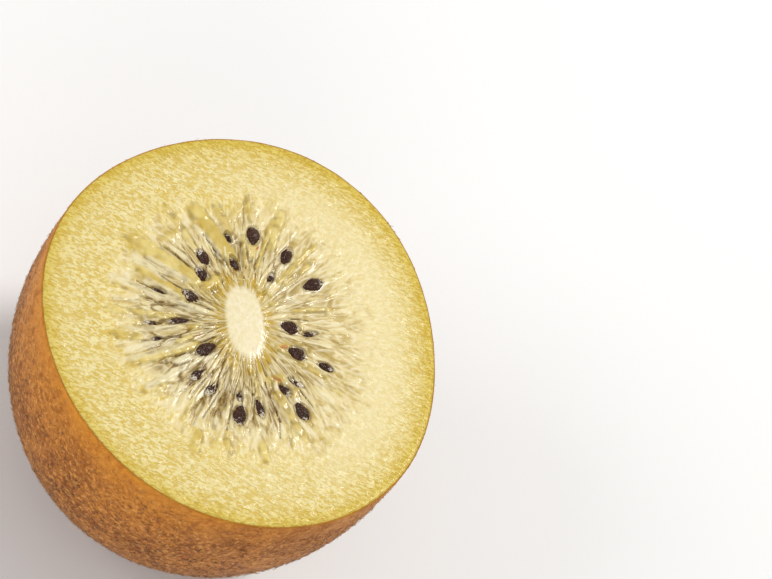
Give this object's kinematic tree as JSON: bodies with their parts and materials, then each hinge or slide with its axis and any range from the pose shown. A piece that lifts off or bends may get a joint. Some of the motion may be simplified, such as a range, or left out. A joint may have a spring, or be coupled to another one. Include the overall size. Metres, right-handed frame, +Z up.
{
  "type": "halved golden kiwi fruit",
  "caption": "Half of a golden kiwi cut across: fuzzy brown skin, yellow flesh, pale oval core and dark seeds, resting on its rounded end.",
  "frame": {"origin": "centre of the small flat spot under the rounded stem end, which the half rests on", "axes": "+Z up, out of the level cut face; +X to the right and +Y away when the fruit is seen from the front"},
  "size_m": [0.0529, 0.0561, 0.0338],
  "materials": {
    "skin": "thin brown skin with short fine fuzz",
    "flesh": "moist translucent yellow flesh",
    "core": "smooth moist cream-white core",
    "seed": "dark brown, glossy and finely pitted"
  },
  "bodies": {
    "root": {"kiwi_half": "skin"}
  },
  "joints": []
}
